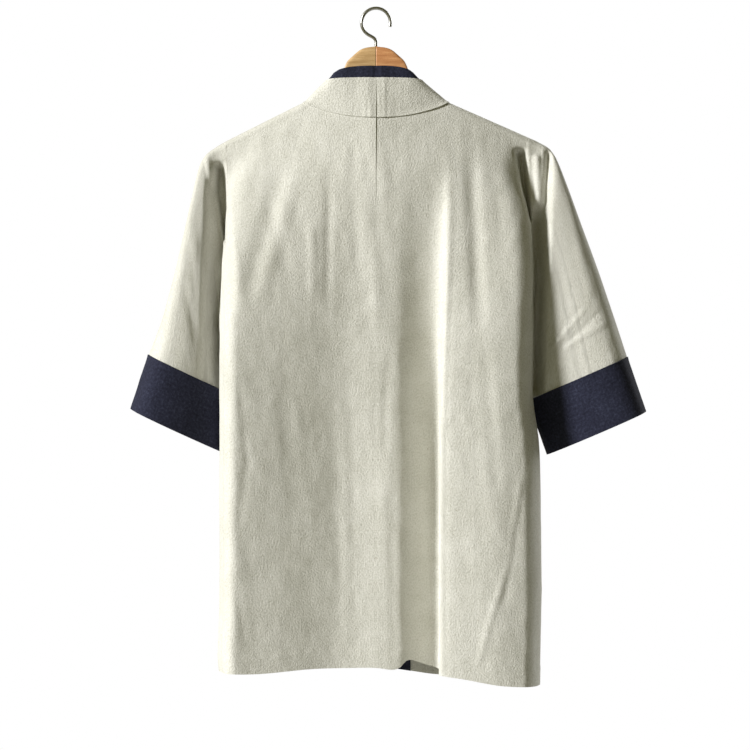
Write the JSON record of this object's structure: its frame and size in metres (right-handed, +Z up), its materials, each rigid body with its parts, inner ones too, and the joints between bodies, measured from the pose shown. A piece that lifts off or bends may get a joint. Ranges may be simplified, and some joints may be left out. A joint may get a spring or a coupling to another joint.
{
  "type": "hanfu jacket on a hanger",
  "caption": "Open-front hanfu jacket in cream crinkled linen with short wide sleeves, deep navy cuffs and a banded stand collar, hung on a flat wooden hanger.",
  "frame": {"origin": "inside top of the hanger's hook, where a rail carries it", "axes": "+Z up, the wearer's front faces -Y, the wearer's left is +X"},
  "size_m": [0.649, 0.1445, 0.8469],
  "materials": {
    "cream_linen": "matt crinkled slub linen",
    "navy_linen": "matt slub linen",
    "honey_wood": "satin lacquer",
    "amber_wood": "satin lacquer",
    "hook_steel": "polished wire"
  },
  "bodies": {
    "root": {"back_left": "cream_linen", "back_right": "cream_linen", "front_left": "cream_linen", "front_right": "cream_linen", "sleeve_left": "cream_linen", "sleeve_right": "cream_linen", "collar_left": "cream_linen", "collar_right": "cream_linen", "cuff_left": "navy_linen", "cuff_right": "navy_linen", "trim_left": "navy_linen", "trim_right": "navy_linen", "hanger_left": "honey_wood", "hanger_right": "amber_wood", "hook": "hook_steel"}
  },
  "joints": []
}
